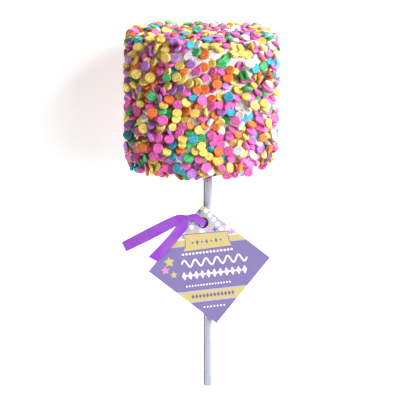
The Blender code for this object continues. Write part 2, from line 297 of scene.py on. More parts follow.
def sugar_disc_material(name, colour, contrast):
    """Pressed icing sugar and starch: matt and close-grained, each disc a touch lighter or darker, its rim
    in painted shade.
    """
    material, shader = new_material(name, {
        "Roughness": 0.55,
        "Specular IOR Level": 0.2,
        "Subsurface Weight": 0.06,
        "Subsurface Radius": (1.0, 0.7, 0.6),
        "Subsurface Scale": 0.4 * MM,
    })
    place = add_node(material, "TexCoord", {}).outputs["Object"]
    batch = add_node(material, "Attribute", {}, attribute_name="shade")
    dyed = add_node(material, "Mix", {
        0: batch.outputs["Fac"], MIX_A: shaded(colour, 0.86), MIX_B: shaded(colour, 1.14),
    }, data_type="RGBA")
    grains = add_node(material, "TexNoise", {
        "Vector": place, "Scale": per_mm(0.55), "Detail": 4.0, "Roughness": 0.9,
    })
    speck = add_node(material, "MapRange", {
        "Value": grains.outputs["Fac"],
        "From Min": 0.36,
        "From Max": 0.64,
        "To Min": 1 - contrast,
        "To Max": 1 + 0.7 * contrast,
    })
    grainy = add_node(material, "Mix", {
        0: 1.0, MIX_A: dyed.outputs[MIX_RESULT], MIX_B: speck.outputs["Result"],
    }, data_type="RGBA", blend_type="MULTIPLY")
    # Painted shade: the rim faces are darkened towards a dark copy of the colour.
    rim = add_node(material, "Attribute", {}, attribute_name="cut_edge")
    rim_shade = add_node(material, "MapRange", {"Value": rim.outputs["Fac"], "To Max": RIM_PAINTED_SHADE})
    pressed = add_node(material, "Mix", {
        0: rim_shade.outputs["Result"], MIX_A: grainy.outputs[MIX_RESULT], MIX_B: shaded(colour, 0.4),
    }, data_type="RGBA")
    fine = add_node(material, "TexNoise", {"Vector": place, "Scale": per_mm(0.2), "Detail": 2.0})
    bump = add_node(material, "Bump", {
        "Height": fine.outputs["Fac"], "Strength": 0.25, "Distance": 0.06 * MM,
    })
    feed(material, shader, {"Base Color": pressed.outputs[MIX_RESULT], "Normal": bump.outputs["Normal"]})
    return material


def coating_material(colour):
    """White confectionery coating, set after dipping: waxy, a little translucent, rough with crumbs."""
    material, shader = new_material("White confectionery coating", {
        "Roughness": 0.5,
        "Subsurface Weight": 0.2,
        "Subsurface Radius": (1.0, 0.9, 0.8),
        "Subsurface Scale": 0.8 * MM,
    })
    place = add_node(material, "TexCoord", {}).outputs["Object"]
    broad = add_node(material, "TexNoise", {"Vector": place, "Scale": per_mm(2.2), "Detail": 3.0})
    tint = add_node(material, "Mix", {
        0: broad.outputs["Fac"], MIX_A: shaded(colour, 0.88), MIX_B: shaded(colour, 1.06),
    }, data_type="RGBA")
    crumbs = add_node(material, "TexVoronoi", {"Vector": place, "Scale": per_mm(0.55)})
    bump = add_node(material, "Bump", {
        "Height": crumbs.outputs["Distance"], "Strength": 0.9, "Distance": 0.3 * MM,
    })
    feed(material, shader, {"Base Color": tint.outputs[MIX_RESULT], "Normal": bump.outputs["Normal"]})
    return material


def paper_material(colour):
    """Bleached paper rolled tight: matt, with long fibres along the stick and a painted shadow line along
    the lap seam.
    """
    material, shader = new_material("Rolled bleached paper", {"Roughness": 0.72, "Specular IOR Level": 0.2})
    place = add_node(material, "TexCoord", {}).outputs["Object"]
    drawn_out = add_node(material, "Mapping", {"Vector": place, "Scale": (1.0, 0.12, 1.0)})
    fibres = add_node(material, "TexNoise", {
        "Vector": drawn_out.outputs["Vector"], "Scale": per_mm(0.35), "Detail": 4.0,
    })
    tint = add_node(material, "Mix", {
        0: fibres.outputs["Fac"], MIX_A: shaded(colour, 0.86), MIX_B: shaded(colour, 1.08),
    }, data_type="RGBA")
    # Painted shadow: a dark line along the lap seam.
    lap_shadow = add_node(material, "Attribute", {}, attribute_name="glue_line")
    lap_shaded = add_node(material, "Mix", {
        0: lap_shadow.outputs["Fac"], MIX_A: tint.outputs[MIX_RESULT], MIX_B: shaded(colour, 0.3),
    }, data_type="RGBA")
    bump = add_node(material, "Bump", {
        "Height": fibres.outputs["Fac"], "Strength": 0.35, "Distance": 0.05 * MM,
    })
    feed(material, shader, {"Base Color": lap_shaded.outputs[MIX_RESULT], "Normal": bump.outputs["Normal"]})
    return material


def print_material(name, colour, roughness=0.42):
    """Offset ink on coated card: even colour, a soft gloss and the faint tooth of the card under it."""
    material, shader = new_material(name, {"Roughness": roughness})
    place = add_node(material, "TexCoord", {}).outputs["Object"]
    tooth = add_node(material, "TexNoise", {"Vector": place, "Scale": per_mm(0.4), "Detail": 3.0})
    tint = add_node(material, "Mix", {
        0: tooth.outputs["Fac"], MIX_A: shaded(colour, 0.93), MIX_B: shaded(colour, 1.05),
    }, data_type="RGBA")
    bump = add_node(material, "Bump", {
        "Height": tooth.outputs["Fac"], "Strength": 0.12, "Distance": 0.03 * MM,
    })
    feed(material, shader, {"Base Color": tint.outputs[MIX_RESULT], "Normal": bump.outputs["Normal"]})
    return material


def satin_material(colour, deep):
    """Polyester satin: long warp floats give it a soft gloss along the ribbon, over fine ribs, with painted
    shade in soft patches.
    """
    material, shader = new_material("Woven satin ribbon", {
        "Roughness": 0.38, "Anisotropic": 0.5, "Sheen Weight": 0.25,
    })
    along = add_node(material, "UVMap", {}, uv_map="UVMap")
    warp = add_node(material, "TexWave", {
        "Vector": along.outputs["UV"],
        "Scale": math.tau / (WAVE_UNIT * RIB_PITCH),
        "Distortion": 0.4,
        "Detail": 1.0,
    }, bands_direction="Y")
    place = add_node(material, "TexCoord", {}).outputs["Object"]
    # Painted shade: soft random patches of the darker copy, for the satin's sheen turning away.
    shift = add_node(material, "TexNoise", {"Vector": place, "Scale": per_mm(5.0), "Detail": 1.0})
    blend = add_node(material, "MapRange", {
        "Value": shift.outputs["Fac"], "From Min": 0.35, "From Max": 0.65,
    })
    tint = add_node(material, "Mix", {
        0: blend.outputs["Result"], MIX_A: shaded(deep, 1.0), MIX_B: shaded(colour, 1.0),
    }, data_type="RGBA")
    bump = add_node(material, "Bump", {
        "Height": warp.outputs["Fac"], "Strength": 0.3, "Distance": 0.05 * MM,
    })
    feed(material, shader, {"Base Color": tint.outputs[MIX_RESULT], "Normal": bump.outputs["Normal"]})
    return material


# Modelling helpers


def leave_selected(*things):
    """Selects these objects alone, the first of them active."""
    bpy.ops.object.select_all(action="DESELECT")
    for thing in things:
        thing.select_set(True)
    bpy.context.view_layer.objects.active = things[0]


def start_from(add_primitive, name, **sizes):
    """A new primitive to model a piece from, added with nothing else selected."""
    bpy.ops.object.select_all(action="DESELECT")
    add_primitive(**sizes)
    return named(name)


def named(name):
    """The object that an operator has just made, named and alone selected."""
    thing = bpy.context.active_object
    thing.name = name
    thing.data.name = name
    leave_selected(thing)
    return thing


def apply_place(thing):
    """Puts the object's place, turn and size into its mesh."""
    leave_selected(thing)
    bpy.ops.object.transform_apply(location=True, rotation=True, scale=True)


# Edges longer than this run from one end of a piece to the other, and edges sharper than this
# are eased.
LONG_EDGE = 10 * MM
SHARP_EDGE = math.radians(60)


def edit_where(thing, kind, test):
    """Opens edit mode with the vertices, edges or faces for which the test holds selected."""
    leave_selected(thing)
    mesh = thing.data
    parts = {"VERT": mesh.vertices, "EDGE": mesh.edges, "FACE": mesh.polygons}
    for part in parts.values():
        part.foreach_set("select", np.zeros(len(part), dtype=bool))
    for part in parts[kind]:
        part.select = test(part)
    bpy.context.tool_settings.mesh_select_mode = [kind == name for name in parts]
    bpy.ops.object.mode_set(mode="EDIT")


def leave_edit():
    bpy.ops.object.mode_set(mode="OBJECT")


def edge_run(thing, edge, axis):
    """How far an edge runs along an axis."""
    first, second = (thing.data.vertices[k].co[axis] for k in edge.vertices)
    return abs(first - second)


def divide_length(thing, cuts):
    """Cuts the piece across at even steps along Y."""
    edit_where(thing, "EDGE", lambda edge: edge_run(thing, edge, 1) > LONG_EDGE)
    bpy.ops.mesh.subdivide(number_cuts=cuts)
    leave_edit()


def apply_modifier(thing, kind, **settings):
    """Adds a modifier, sets it and applies it."""
    leave_selected(thing)
    modifier = thing.modifiers.new(kind.title(), kind)
    for name, value in settings.items():
        setattr(modifier, name, value)
    bpy.ops.object.modifier_apply(modifier=modifier.name)


def ease_edges(thing, width, segments):
    apply_modifier(
        thing, "BEVEL", width=width, segments=segments, limit_method="ANGLE", angle_limit=SHARP_EDGE
    )


def join(things, name):
    leave_selected(*things)
    bpy.ops.object.join()
    return named(name)


def smooth(thing, degrees):
    leave_selected(thing)
    bpy.ops.object.shade_smooth_by_angle(angle=math.radians(degrees))


def paint(thing, *materials):
    thing.data.materials.clear()
    for material in materials:
        thing.data.materials.append(material)


def finish_piece(thing, material, degrees):
    """Smooths the piece, paints it, and lets it ride on the pop's one body."""
    smooth(thing, degrees)
    paint(thing, material)
    ride_along(thing)


def ride_along(thing):
    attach(thing, "root")


# The marshmallow's form


def side_radius(y):
    share = 0.5 + y / HEAD_LENGTH
    return STICK_END_RADIUS + share * (TOP_RADIUS - STICK_END_RADIUS)


def corner_points(end, size, turns):
    """The profile's points round a corner: end is 1 at the top and -1 at the stick end."""
    points = []
    for angle in np.radians(turns):
        y = end * (HEAD_LENGTH / 2 - size * (1 - math.cos(angle)))
        radius = side_radius(y) - size * (1 - math.sin(angle))
        points.append((y, radius, end * math.cos(angle), math.sin(angle)))
    return points


def head_profile():
    """Points (y, radius, outward y, outward radius) down the wall, from the top's middle."""
    half = HEAD_LENGTH / 2
    top = np.linspace(0, TOP_RADIUS - TOP_CORNER, 4)[:-1]
    side = np.linspace(half - TOP_CORNER, -half + STICK_END_CORNER, 4)[1:-1]
    bottom = np.linspace(STICK_END_RADIUS - STICK_END_CORNER, 0, 3)[1:]
    return np.array([
        *((half, radius, 1.0, 0.0) for radius in top),
        *corner_points(1, TOP_CORNER, np.linspace(0, 90, 4)),
        *((y, side_radius(y), 0.0, 1.0) for y in side),
        *corner_points(-1, STICK_END_CORNER, np.linspace(90, 0, 5)),
        *((-half, radius, -1.0, 0.0) for radius in bottom),
    ])


def lump(y, radius, turn):
    """How far the hand-dipped coating stands off its even form. It is none at the underside."""
    outward = radius / TOP_RADIUS
    wave = math.sin(3 * turn + 1.1 + 90 * y) + 0.7 * math.sin(2 * turn - 0.6 - 140 * y)
    dome = 0.8 * math.cos(math.pi * outward / 2)
    fade = min(1.0, (1 - outward * math.cos(turn)) / 0.6)
    return LUMP_HEIGHT * fade * (outward * wave + dome)


def head_point(station, turn):
    """The coating's surface at a profile station and a turn round the head, 0 at the underside."""
    y, radius, out_y, out_radius = station
    middle_x = HEAD_LEAN * y / HEAD_LENGTH
    middle_z = side_radius(y) - FLAT_DEPTH
    height = lump(y, radius, turn)
    radius = radius + out_radius * height
    x = middle_x + radius * math.sin(turn)
    z = middle_z - radius * math.cos(turn)
    return Vector((x, y + out_y * height, max(z, 0.0)))


class Coat:
    """The coating's surface, met by a distance down its profile and a turn round it."""

    def __init__(self):
        self.profile = head_profile()
        steps = np.hypot(*np.diff(self.profile[:, :2], axis=0).T)
        self.length = np.concatenate([[0], np.cumsum(steps)])
        self.end = float(self.length[-1])
        self.fine = np.linspace(0, self.end, 600)
        radius = np.interp(self.fine, self.length, self.profile[:, 1])
        self.area = np.concatenate([[0], np.cumsum(radius[:-1] + radius[1:])])

    def along_at(self, share):
        """The distance down the profile above which that share of the area lies."""
        return float(np.interp(share * self.area[-1], self.area, self.fine))

    def station(self, along):
        return [float(np.interp(along, self.length, self.profile[:, k])) for k in range(4)]

    def spot(self, along, turn):
        """The point there and its outward direction."""
        station = self.station(along)
        outward = Vector((station[3] * math.sin(turn), station[2], -station[3] * math.cos(turn)))
        return head_point(station, turn), outward.normalized()


# Confetti

# The master disc, which every disc is a sized copy of, and how uneven a copy is along each axis.
MASTER_RADIUS = 1.5 * MM
MASTER_SIDES = 16
MASTER_BEVEL = 0.15 * MM
UNEVENNESS = ((0.93, 1.03), (0.97, 1.05), (0.82, 1.02))

# How far a new disc sinks into the coating, and into a disc that it lies on.
COATING_SINK = 0.28 * MM
DISC_SINK = 0.06 * MM

# A tilted disc is pressed in by this share of its radius times the sine of its tilt.
PRESSED_SHARE = 0.2

# The steepest that a disc lies. The pop was coated with its top end up, so most discs settled
# with their faces leaning up, by one of these shares of the full lean, more or less.
STEEPEST = math.tan(math.radians(57))
SETTLED_LEAN = math.tan(math.radians(46))
SETTLED_SHARES = (1.0, 1.0, 0.8, 0.6, 0.5, 0.2, -0.3)
SETTLED_RANGE = (0.6, 1.2)

# A disc can carry another if its middle is not further off than their radii and this margin, if
# its tilt's cosine is not less than this, and within this share of its own radius.
LOOK_MARGIN = 1.5 * MM
CARRYING_SLOPE = 0.45
CARRYING_REACH = 0.97

# How deep two discs may be in each other, and those on edge. A disc is freed in at most so many
# steps, each a share of the depth and at least this much.
MOST_OVERLAP = 0.12 * MM
MOST_OVERLAP_ON_EDGE = 2.5 * MOST_OVERLAP
RAISE_TRIES = 10
RAISE_SHARE = 0.6
LEAST_RAISE = 0.05 * MM

# How far out of the solid's box, at its sides and above, a disc may be to be moved into it.
MOST_ASIDE = 0.5 * MM
MOST_ABOVE = 1.2 * MM

# The even cover: how many places are tried, how unevenly its discs lie, how they curl, and how
# much further apart they are for each metre to the right.
COVER_TRIES = 9000
COVER_WOBBLE = 0.13
COVER_CURLS = (0, 0, 0, 0.08, -0.08)
WIDER_RIGHT = 0.012

# The discs laid over gaps: each takes the widest gap of so many places.
GAP_PLACES = 24
GAP_WOBBLE = 0.12
GAP_CURLS = (0, 0, 0.1, -0.1, 0.18)

# The discs on edge: each stack takes the widest gap of so many places. How many stand in it, how
# many degrees they tilt from upright, how deep they are sunk, in radii and in thicknesses, how
# far apart they are, in thicknesses, and how low a place may be.
EDGE_PLACES = 40
STACK_SIZES = (1, 1, 1, 2, 2, 3)
EDGE_TILT = (5, 35)
EDGE_SUNK = (-0.1, 0.55)
EDGE_FOOT = 0.35
EDGE_PITCH = 1.02
EDGE_LOWEST = 3 * MM

# Discs whose place is lower than this are pressed level, this much over the floor.
PRESSED_HEIGHT = 0.7 * MM
PRESSED_RANGE = (0, 0.05 * MM)

# The middles of patches where the cover is thin and the coating shows. The cover is thinnest up
# to 0.6 of the fade from a middle, and full from 1.6 of it. Where it is thinnest, a gap counts as
# narrower by this share.
THIN_FADE = 2.6 * MM
THIN_END = 1.6
GAPS_LEFT_THIN = 0.35
THIN_PATCHES = [Vector((x * MM, y * MM, z * MM)) for x, y, z in (
    (-3.2, 10.5, 46.5),
    (0.8, 1.0, 47.0),
    (-6.5, 4.0, 46.0),
    (8.0, -12.5, 45.0),
    (-3.5, -13.5, 46.0),
    (9.2, 7.5, 45.5),
    (16.5, -1.0, 40.0),
    (12.0, 16.0, 44.0),
    (-8.0, 22.0, 27.0),
    (9.0, 22.0, 18.0),
    (24.0, 6.0, 20.0),
    (-22.0, -8.0, 15.0),
    (14.0, -3.0, 5.0),
    (-13.0, 9.0, 4.0),
    (-9.0, -21.0, 13.0),
)]

COLOUR_SHARES = {
    "pink": 0.28,
    "yellow": 0.275,
    "blue": 0.075,
    "green": 0.075,
    "purple": 0.1,
    "orange": 0.13,
    "white": 0.07,
}

# How much each metre to the right adds to a colour's share, as a part of that share, the least
# part that is left, and how often a disc takes the colour of its nearest neighbour.
COLOUR_DRIFT = {"white": 75.0, "orange": -20.0, "yellow": -12.0, "pink": 10.0}
LEAST_DRIFTED = 0.2
TAKES_AFTER = 0.05


class Disc:
    """One disc: its place on the coating, its middle, the way it faces, its radius and curl."""

    def __init__(self, spot, middle, facing, radius, curl=0.0):
        self.spot = spot
        self.middle = middle
        self.facing = facing
        self.radius = radius
        self.curl = curl


def solid_discs(coat, thickness):
    """The discs that the solid has, from the same rule and draws."""
    draw = random.Random(SOLID_CONFETTI_SEED)
    places = []
    for number in range(SOLID_CONFETTI):
        along = coat.along_at((number + 0.5) / SOLID_CONFETTI)
        along = along + draw.uniform(-1, 1) * SOLID_CONFETTI_SCATTER
        along = min(max(along, SOLID_CONFETTI_SCATTER), coat.end - SOLID_CONFETTI_SCATTER)
        scatter = draw.uniform(-1, 1) * SOLID_CONFETTI_SCATTER / max(coat.station(along)[1], MM)
        places.append(coat.spot(along, number * GOLDEN_TURN + scatter))
    draw = random.Random(SOLID_CONFETTI_SEED + 1)
    radii = sorted((draw.uniform(*SOLID_CONFETTI_RADIUS) for _ in places), reverse=True)
    discs = []
    for (spot, outward), radius in zip(places, radii):
        proud = draw.uniform(*SOLID_CONFETTI_PROUD)
        tilt = SOLID_CONFETTI_TILT * draw.random()
        lean = Vector((draw.uniform(-1, 1), draw.uniform(-1, 1), draw.uniform(-1, 1)))
        lean = (lean - lean.dot(outward) * outward).normalized()
        facing = (outward * math.cos(tilt) + lean * math.sin(tilt)).normalized()
        proud = proud + SOLID_CONFETTI_TILT_LIFT * math.sin(tilt)
        middle = spot + outward * (proud - thickness / 2)
        disc = Disc(spot, middle, facing, radius)
        lift = FLOOR_ROOM - (middle.z - reach(disc, thickness).z)
        if lift <= FLOOR_LIFT and clear_of_stick(disc):
            disc.middle = middle + Vector((0, 0, max(lift, 0)))
            discs.append(disc)
    return discs


def reach(disc, thickness):
    """How far the disc reaches from its middle along each axis."""
    flat = disc.radius
    return Vector([
        flat * math.sqrt(max(0.0, 1 - part * part)) + abs(part) * thickness / 2 for part in disc.facing
    ])


def clear_of_stick(disc):
    from_stick = math.hypot(disc.spot.x - STICK_ASIDE, disc.spot.z - STICK_HEIGHT)
    return disc.spot.y > 0 or from_stick > STICK_RADIUS + 3 * GAP + disc.radius


# The rings of samples round a disc's middle, as (radius, how many).
SAMPLE_RINGS = ((0.55, 6), (0.98, 12))


def sample_spots():
    """Spots on a disc of radius 1: its middle, a half-way ring and its rim."""
    spots = [(0.0, 0.0)]
    for share, count in SAMPLE_RINGS:
        for k in range(count):
            angle = 2 * math.pi * (k + 0.5 * share) / count
            spots.append((share * math.cos(angle), share * math.sin(angle)))
    return np.array(spots)


SAMPLES = sample_spots()


def supporting_triples():
    """Each three samples round the disc's middle, with the weights that give the middle's height.

    Samples nearly in a row are left out, and so are those with the middle almost outside them.
    """
    found, weights = [], []
    for triple in itertools.combinations(range(1, len(SAMPLES)), 3):
        corners = np.column_stack([SAMPLES[list(triple)], np.ones(3)])
        if abs(np.linalg.det(corners)) < 0.05:
            continue
        share = np.linalg.solve(corners.T, (0.0, 0.0, 1.0))
        if share.min() > 0.02:
            found.append(triple)
            weights.append(share)
    return np.array(found), np.array(weights)


TRIPLES, TRIPLE_WEIGHTS = supporting_triples()


class Pile:
    """The discs laid so far, and where the next one comes to rest on them."""

    def __init__(self, thickness):
        self.thickness = thickness
        self.discs = []
        self.spots = np.zeros((0, 3))
        self.middles = np.zeros((0, 3))
        self.facings = np.zeros((0, 3))
        self.radii = np.zeros(0)
        self.shells = np.zeros((0, 2 * len(SAMPLES), 3))

    def add(self, disc):
        self.discs.append(disc)
        self.spots = np.vstack([self.spots, disc.spot])
        self.middles = np.vstack([self.middles, disc.middle])
        self.facings = np.vstack([self.facings, disc.facing])
        self.radii = np.append(self.radii, disc.radius)
        self.shells = np.vstack([self.shells, self.shell(disc)[None]])

    def nearest(self, spot):
        """The distance from a spot to the nearest disc's place on the coating."""
        return float(np.sqrt(((self.spots - np.array(spot)) ** 2).sum(1).min()))

    def shell(self, disc):
        """Points over both faces of a disc."""
        first = disc.facing.orthogonal().normalized()
        second = disc.facing.cross(first)
        face = SAMPLES @ np.array([first, second]) * disc.radius + np.array(disc.middle)
        half = np.array(disc.facing) * self.thickness / 2
        return np.vstack([face + half, face - half])

    def overlap(self, disc):
        """How deep the disc and its neighbours are in each other."""
        reaches = np.linalg.norm(self.middles - np.array(disc.middle), axis=1)
        near = np.flatnonzero(reaches < self.radii + disc.radius)
        if not len(near):
            return 0.0
        shell = self.shell(disc)
        own = self.inside(shell[None], self.middles[near], self.facings[near], self.radii[near])
        theirs = self.inside(
            self.shells[near], np.array([disc.middle]), np.array([disc.facing]), np.array([disc.radius])
        )
        return max(own, theirs)

    def inside(self, points, middles, facings, radii):
        """The greatest depth of any of the points in the discs."""
        offsets = points - middles[:, None]
        height = (offsets * facings[:, None]).sum(2)
        across = np.sqrt(np.maximum((offsets ** 2).sum(2) - height ** 2, 0))
        depth = np.minimum(self.thickness / 2 - np.abs(height), radii[:, None] - across)
        return float(depth.max())

    def raised(self, disc, outward, most):
        """The disc moved outwards until it only touches its neighbours, or None if that is too far."""
        for _ in range(RAISE_TRIES):
            depth = self.overlap(disc)
            if depth < most:
                return disc if fits_in_box(disc, self.thickness) else None
            disc.middle = disc.middle + outward * max(RAISE_SHARE * depth, LEAST_RAISE)
        return None

    def heights(self, spot, outward, first, second, radius):
        """How high the pile stands over each sample of a disc at the spot, from the tangent plane."""
        across = SAMPLES * radius
        points = np.array(spot) + across[:, :1] * np.array(first) + across[:, 1:] * np.array(second)
        bend = (across ** 2).sum(1) / (2 * TOP_RADIUS)
        heights = -bend - COATING_SINK
        distances = np.linalg.norm(self.middles - np.array(spot), axis=1)
        near = distances < radius + SOLID_CONFETTI_RADIUS[1] + LOOK_MARGIN
        for middle, facing, rim in zip(self.middles[near], self.facings[near], self.radii[near]):
            slope = float(facing @ np.array(outward))
            if slope < CARRYING_SLOPE:
                continue
            rise = (self.thickness / 2 - (points - middle) @ facing) / slope
            landing = points + rise[:, None] * np.array(outward) - middle
            landing -= np.outer(landing @ facing, facing)
            inside = (landing ** 2).sum(1) < (CARRYING_REACH * rim) ** 2
            heights = np.where(inside, np.maximum(heights, rise - DISC_SINK), heights)
        return heights

    def rest(self, spot, outward, radius, draw, wobble):
        """A disc that has come to rest at the spot, on the coating and on the discs there."""
        first = outward.orthogonal().normalized()
        first.rotate(Matrix.Rotation(draw.uniform(0, math.tau), 3, outward))
        second = outward.cross(first)
        heights = self.heights(spot, outward, first, second, radius)
        middles = (TRIPLE_WEIGHTS * heights[TRIPLES]).sum(1)
        best = TRIPLES[int(middles.argmax())]
        corners = np.column_stack([SAMPLES[best] * radius, np.ones(3)])
        slope = np.linalg.solve(corners, heights[best])[:2]
        slope = slope + wobble * np.array([draw.gauss(0, 1), draw.gauss(0, 1)])
        settled = SETTLED_LEAN * draw.choice(SETTLED_SHARES) * draw.uniform(*SETTLED_RANGE)
        slope = slope - settled * np.array([first.y, second.y])
        steep = float(np.hypot(*slope))
        if steep > STEEPEST:
            slope = slope * (STEEPEST / steep)
        height = float((heights - SAMPLES @ slope * radius).max())
        facing = (outward - first * float(slope[0]) - second * float(slope[1])).normalized()
        pressed = PRESSED_SHARE * radius * math.sqrt(max(0.0, 1 - facing.dot(outward) ** 2))
        middle = spot + outward * (height - pressed) + facing * (self.thickness / 2)
        return self.raised(Disc(spot, middle, facing, radius), outward, MOST_OVERLAP)


def fits_in_box(disc, thickness):
    """True for a disc that is so little out of the solid's box that it can be moved into it."""
    span = reach(disc, thickness)
    below = HEAD_LOW - disc.middle + span
    above = disc.middle + span - HEAD_HIGH
    return max(below.x, below.y, above.x, above.y) < MOST_ASIDE and above.z < MOST_ABOVE


def keep_in_box(points):
    """Moves a disc's points inwards until they are inside the solid's box, and off the floor."""
    below = np.minimum(points.min(0) - np.array(HEAD_LOW), 0)
    above = np.maximum(points.max(0) - np.array(HEAD_HIGH), 0)
    return points - below - above


def pressed_flat(spot):
    """Under the marshmallow's weight the discs are pressed level with the floor."""
    return spot.z < PRESSED_HEIGHT


def thinness(spot):
    """1 in the middle of a thin patch of the cover, 0 in most places."""
    nearest = min((spot - middle).length for middle in THIN_PATCHES)
    return min(max(THIN_END - nearest / THIN_FADE, 0.0), 1.0)


class Cover:
    """All the confetti: the solid's own discs, an even cover, discs over gaps and stacks on edge."""

    def __init__(self, settings):
        self.settings = settings
        self.draw = random.Random(settings.seed)
        self.coat = Coat()
        self.pile = Pile(settings.thickness)
        for disc in solid_discs(self.coat, settings.thickness):
            self.pile.add(disc)
        for _ in range(COVER_TRIES):
            self.try_place()
        for _ in range(settings.in_gaps):
            self.fill_gap()
        for _ in range(settings.on_edge):
            self.stand_on_edge()

    def random_place(self):
        along = self.coat.along_at(self.draw.random())
        return self.coat.spot(along, self.draw.uniform(0, math.tau))

    def random_radius(self):
        return self.draw.uniform(self.settings.smallest, self.settings.largest)

    def gap(self, place):
        """How wide the gap is round a place, less where the cover is thin, and none on the floor."""
        spot = place[0]
        if pressed_flat(spot):
            return 0
        return self.pile.nearest(spot) * (1 - GAPS_LEFT_THIN * thinness(spot))

    def widest_gap(self, count):
        return max([self.random_place() for _ in range(count)], key=self.gap)

    def try_place(self):
        """Lays a disc of the even cover, unless another is too near."""
        settings, draw = self.settings, self.draw
        spot, outward = self.random_place()
        radius = self.random_radius()
        level = pressed_flat(spot)
        spacing = settings.spacing + thinness(spot) * (settings.thin_spacing - settings.spacing)
        spacing = spacing + WIDER_RIGHT * spot.x
        if self.pile.nearest(spot) < (2 * settings.largest if level else spacing):
            return
        if level:
            middle = Vector((spot.x, spot.y, settings.thickness / 2 + draw.uniform(*PRESSED_RANGE)))
            disc = Disc(spot, middle, Vector((0, 0, -1)), radius)
        else:
            disc = self.pile.rest(spot, outward, radius, draw, COVER_WOBBLE)
        if disc and clear_of_stick(disc):
            disc.curl = draw.choice(COVER_CURLS)
            self.pile.add(disc)

    def fill_gap(self):
        spot, outward = self.widest_gap(GAP_PLACES)
        disc = self.pile.rest(spot, outward, self.random_radius(), self.draw, GAP_WOBBLE)
        if disc and clear_of_stick(disc) and not pressed_flat(spot):
            disc.curl = self.draw.choice(GAP_CURLS)
            self.pile.add(disc)

    def stand_on_edge(self):
        """Lays one disc, or a few face to face, nearly upright on the coating."""
        draw, thickness = self.draw, self.settings.thickness
        spot, outward = self.widest_gap(EDGE_PLACES)
        radius = self.random_radius()
        lean = outward.orthogonal().normalized()
        lean.rotate(Matrix.Rotation(draw.uniform(0, math.tau), 3, outward))
        tilt = math.radians(draw.uniform(*EDGE_TILT))
        facing = (lean * math.cos(tilt) + outward * math.sin(tilt)).normalized()
        proud = radius - thickness * EDGE_FOOT - draw.uniform(*EDGE_SUNK) * radius
        for k in range(draw.choice(STACK_SIZES)):
            middle = spot + outward * proud + facing * (k * thickness * EDGE_PITCH)
            disc = Disc(spot + facing * (k * thickness), middle, facing, radius)
            disc = self.pile.raised(disc, outward, MOST_OVERLAP_ON_EDGE)
            if disc and clear_of_stick(disc) and spot.z > EDGE_LOWEST:
                self.pile.add(disc)


def colour_discs(discs, seed):
    """A colour for each disc. Now and then one takes after its neighbour, so colours come in drifts."""
    draw = random.Random(seed)
    spots = np.array([disc.spot for disc in discs])
    colours = []
    for number, disc in enumerate(discs):
        shares = []
        for name, share in COLOUR_SHARES.items():
            shares.append(share * max(1 + COLOUR_DRIFT.get(name, 0.0) * disc.spot.x, LEAST_DRIFTED))
        colour = draw.choices(list(COLOUR_SHARES), shares)[0]
        if number and draw.random() < TAKES_AFTER:
            nearest = int(((spots[:number] - np.array(disc.spot)) ** 2).sum(1).argmin())
            colour = colours[nearest]
        colours.append(colour)
    return colours


def master_disc(thickness):
    """One disc with eased edges, as (points, faces, whether each face is on the rim)."""
    disc = start_from(
        bpy.ops.mesh.primitive_cylinder_add,
        "confetti_master",
        vertices=MASTER_SIDES,
        radius=MASTER_RADIUS,
        depth=thickness,
    )
    edit_where(disc, "EDGE", lambda edge: edge_run(disc, edge, 2) < thickness / 2)
    bpy.ops.mesh.bevel(offset=MASTER_BEVEL, segments=1, affect="EDGES")
    leave_edit()
    points = np.array([vertex.co for vertex in disc.data.vertices])
    faces = [list(polygon.vertices) for polygon in disc.data.polygons]
    on_rim = [abs(polygon.normal.z) < 0.9 for polygon in disc.data.polygons]
    bpy.data.objects.remove(disc, do_unlink=True)
    return points, faces, on_rim


def copies_of(name, points, faces, on_rim, placed, shades):
    """One joined mesh of many copies, each with its points where placed says, and its shade."""
    count = len(points)
    places = np.concatenate(placed)
    shifted = [[corner + k * count for corner in face] for k in range(len(placed)) for face in faces]
    mesh = bpy.data.meshes.new(name)
    mesh.from_pydata(places.tolist(), [], shifted)
    mesh.update()
    shade = mesh.attributes.new("shade", "FLOAT", "POINT")
    shade.data.foreach_set("value", np.repeat(np.array(shades, dtype=np.float32), count))
    # The faces of each disc's rim, which get painted shade.
    cut_edge = mesh.attributes.new("cut_edge", "FLOAT", "FACE")
    cut_edge.data.foreach_set("value", np.tile(np.array(on_rim, dtype=np.float32), len(placed)))
    thing = bpy.data.objects.new(name, mesh)
    bpy.context.scene.collection.objects.link(thing)
    return thing


def disc_points(points, disc, draw):
    """The master disc's points where this disc lies: sized, a little uneven, curled and turned."""
    shaped = points.copy()
    size = disc.radius / MASTER_RADIUS
    for axis, (least, most) in enumerate(UNEVENNESS):
        shaped[:, axis] *= (size if axis < 2 else 1) * draw.uniform(least, most)
    shaped[:, 2] += disc.curl * (shaped[:, 0] ** 2 - disc.radius ** 2 / 4) / disc.radius
    spin = Matrix.Rotation(draw.uniform(0, math.tau), 3, "Z")
    turn = disc.facing.to_track_quat("Z", "Y").to_matrix() @ spin
    return keep_in_box(shaped @ np.array(turn).T + np.array(disc.middle))


class POP_OT_confetti(bpy.types.Operator):
    """Lays the pressed sugar discs, one piece for each colour"""

    bl_idname = "pop.confetti"
    bl_label = "Confetti"

    def execute(self, context):
        settings = context.scene.pop_confetti
        points, faces, on_rim = master_disc(settings.thickness)
        discs = Cover(settings).pile.discs
        colours = colour_discs(discs, settings.colour_seed)
        draw = random.Random(settings.seed + 2)
        for colour in COLOUR_SHARES:
            own = [disc for disc, chosen in zip(discs, colours) if chosen == colour]
            placed = [disc_points(points, disc, draw) for disc in own]
            shades = [draw.random() for _ in own]
            piece = copies_of("confetti_" + colour, points, faces, on_rim, placed, shades)
            contrast = UNDYED_CONTRAST if colour == "white" else SUGAR_CONTRAST
            sugar = sugar_disc_material(f"Pressed sugar, {colour}", getattr(settings, colour), contrast)
            finish_piece(piece, sugar, 30)
        return {"FINISHED"}


# The marshmallow

# Cuts along the wall, and how the round ends are filled in with rings of faces.
WALL_CUTS = 14
END_RINGS = 5
END_RING_WIDTH = 3.2 * MM


